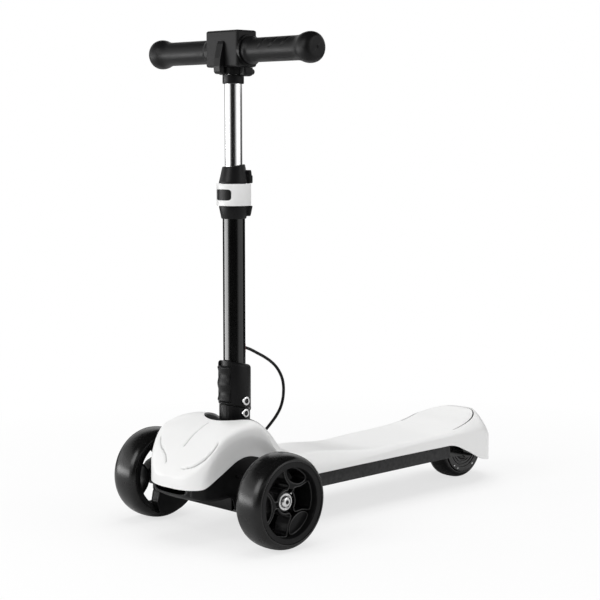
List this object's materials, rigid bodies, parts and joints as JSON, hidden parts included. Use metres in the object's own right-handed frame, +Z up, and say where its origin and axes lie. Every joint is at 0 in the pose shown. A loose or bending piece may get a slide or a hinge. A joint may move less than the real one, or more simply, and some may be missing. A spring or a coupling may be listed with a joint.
{
  "type": "kids electric scooter",
  "caption": "Three-wheeled folding kids electric scooter with lean-to-steer front wheels, telescopic stem, hub-motor rear wheel and a foot brake in the tail",
  "frame": {"origin": "centre of the bounding box in plan, on the floor under the front tyres", "axes": "+X to one side (left in the node names), +Y from nose to tail, +Z up"},
  "size_m": [0.3, 0.607, 0.6376],
  "materials": {
    "white_plastic": "moulded, satin gloss",
    "black_plastic": "moulded, fine texture",
    "red_plastic": "moulded, plain",
    "controller_case": "moulded, plain",
    "battery_wrap": "shrink wrap",
    "tyre": "solid polyurethane, worn smooth",
    "rubber": "soft, slightly rough",
    "black_painted": "gloss black coat",
    "chrome": "polished plating",
    "steel": "zinc plated",
    "aluminium": "die cast"
  },
  "bodies": {
    "chassis": {"nose_cover": "white_plastic", "deck_shell": "white_plastic", "front_tray": "black_plastic", "axle_beam": "black_painted", "chassis_tray": "black_plastic", "battery_pack": "battery_wrap", "motor_controller": "controller_case", "lean_pin": "steel", "kingpin_left": "steel", "kingpin_right": "steel", "lean_buffer_left": "rubber", "lean_buffer_right": "rubber", "fork_plate_left": "black_painted", "fork_plate_right": "black_painted", "rear_nut_left": "steel", "rear_nut_right": "steel", "motor_stator": "steel", "brake_hinge_pin": "steel"},
    "lean_unit": {"lean_block": "black_plastic", "stem_base": "black_plastic", "base_bolt": "chrome", "hinge_pin": "steel"},
    "steering_rod": {"tie_rod": "black_painted"},
    "steering_left": {"knuckle_left": "aluminium", "front_axle_left": "steel"},
    "steering_right": {"knuckle_right": "aluminium", "front_axle_right": "steel"},
    "wheel_left": {"front_tyre_left": "tyre", "front_hub_left": "black_plastic", "front_bearings_left": "steel"},
    "wheel_right": {"front_tyre_right": "tyre", "front_hub_right": "black_plastic", "front_bearings_right": "steel"},
    "lower_stem": {"stem_socket": "black_plastic", "socket_bolt": "chrome", "outer_tube": "black_painted", "tube_bushing": "black_plastic", "cable_grommet": "red_plastic", "motor_cable": "rubber", "clamp_collar": "black_plastic", "clamp_pin": "steel"},
    "latch": {"latch_lever": "black_plastic"},
    "height_lever": {"clamp_lever": "white_plastic"},
    "upper_stem": {"inner_tube": "chrome", "head_sleeve": "black_plastic", "head_body": "black_plastic", "head_cover": "black_plastic", "bar_core": "steel", "grip_left": "rubber", "grip_right": "rubber", "throttle_pod": "black_plastic"},
    "throttle": {"throttle_button": "red_plastic"},
    "rear_wheel": {"rear_hub": "black_painted", "motor_cover": "black_painted", "rear_tyre": "tyre"},
    "foot_brake": {"brake_pedal": "white_plastic"}
  },
  "joints": [
    {"name": "lean_tilt", "type": "hinge", "parent": "chassis", "child": "lean_unit", "pos_m": [0, -0.1905, 0.079], "axis": [0, 1, 0], "range_deg": [-12, 12], "stiffness_Nm_per_rad": 25, "deforming": ["lean_buffer_left", "lean_buffer_right", "motor_cable"]},
    {"name": "steer_left", "type": "hinge", "parent": "chassis", "child": "steering_left", "pos_m": [0.076, -0.2235, 0.06], "axis": [0, 0, 1], "range_deg": [-13.3, 13.3]},
    {"name": "steer_right", "type": "hinge", "parent": "chassis", "child": "steering_right", "pos_m": [-0.076, -0.2235, 0.06], "axis": [0, 0, 1], "range_deg": [-13.3, 13.3]},
    {"name": "tie_rod_slide", "type": "slide", "parent": "chassis", "child": "steering_rod", "axis": [1, 0, 0], "range_m": [-0.0056, 0.0056]},
    {"name": "wheel_spin_left", "type": "hinge", "parent": "steering_left", "child": "wheel_left", "pos_m": [0.11925, -0.2235, 0.06], "axis": [1, 0, 0], "continuous": true},
    {"name": "wheel_spin_right", "type": "hinge", "parent": "steering_right", "child": "wheel_right", "pos_m": [-0.11925, -0.2235, 0.06], "axis": [1, 0, 0], "continuous": true},
    {"name": "stem_fold", "type": "hinge", "parent": "lean_unit", "child": "lower_stem", "pos_m": [0, -0.1735, 0.15549], "axis": [-1, 0, 0], "range_deg": [0, 90], "deforming": ["motor_cable"]},
    {"name": "latch_pull", "type": "slide", "parent": "lower_stem", "child": "latch", "axis": [0, 0, 1], "range_m": [0, 0.0045], "stiffness_N_per_m": 500, "springref_m": -0.002},
    {"name": "height_slide", "type": "slide", "parent": "lower_stem", "child": "upper_stem", "axis": [0, 0, 1], "range_m": [-0.1, 0.06]},
    {"name": "clamp_swing", "type": "hinge", "parent": "lower_stem", "child": "height_lever", "pos_m": [0.01344, -0.17707, 0.432], "axis": [0, 0, 1], "range_deg": [0, 130]},
    {"name": "throttle_press", "type": "slide", "parent": "upper_stem", "child": "throttle", "axis": [0, -1, 0], "range_m": [0, 0.0025], "stiffness_N_per_m": 800, "springref_m": -0.001},
    {"name": "rear_wheel_spin", "type": "hinge", "parent": "chassis", "child": "rear_wheel", "pos_m": [0, 0.2515, 0.046], "axis": [1, 0, 0], "continuous": true},
    {"name": "brake_press", "type": "hinge", "parent": "chassis", "child": "foot_brake", "pos_m": [0, 0.1945, 0.072], "axis": [-1, 0, 0], "range_deg": [0, 2.3], "stiffness_Nm_per_rad": 12, "springref_deg": -2.29}
  ],
  "couplings": [
    {"joint": "steer_left", "follows": "lean_tilt", "ratio": 1.1042},
    {"joint": "steer_right", "follows": "lean_tilt", "ratio": 1.1042},
    {"joint": "tie_rod_slide", "follows": "lean_tilt", "m_per_rad": -0.0265}
  ]
}
